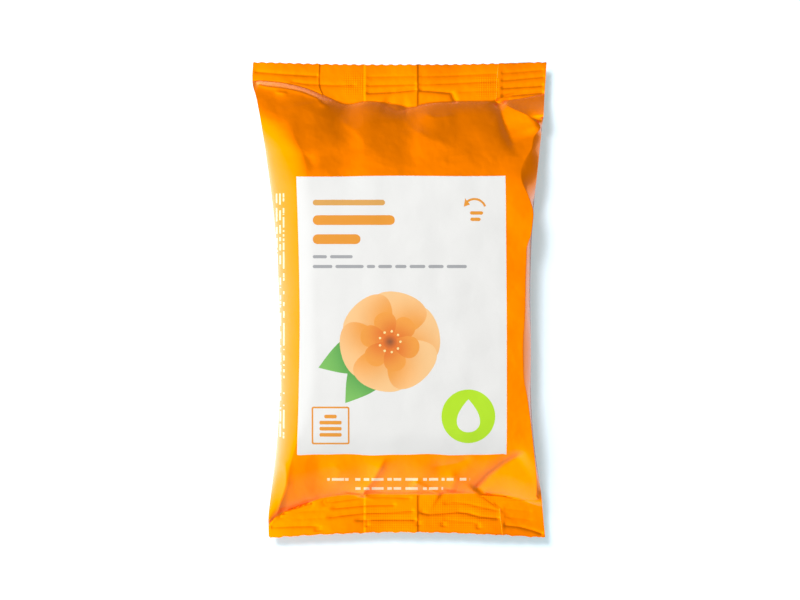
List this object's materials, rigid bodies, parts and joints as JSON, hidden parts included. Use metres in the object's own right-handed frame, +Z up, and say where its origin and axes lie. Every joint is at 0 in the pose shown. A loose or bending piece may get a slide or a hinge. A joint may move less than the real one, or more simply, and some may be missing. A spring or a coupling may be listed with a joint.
{
  "type": "wet wipes pack",
  "caption": "Flow-wrapped pack of wet wipes lying on its back: a filled film pouch with ribbed end seals, a back fin and a glued reseal label.",
  "frame": {"origin": "on the surface the pack lies on, under the middle of its outline", "axes": "+X to the pack's right, +Y along its length to its top end, +Z up out of its labelled front"},
  "size_m": [0.1222, 0.198, 0.0265],
  "materials": {
    "film": "orange printed laminate film, satin gloss",
    "label": "white label film with printed shapes, gloss"
  },
  "bodies": {
    "root": {"sealed_pouch": "film", "reseal_label": "label"}
  },
  "joints": []
}
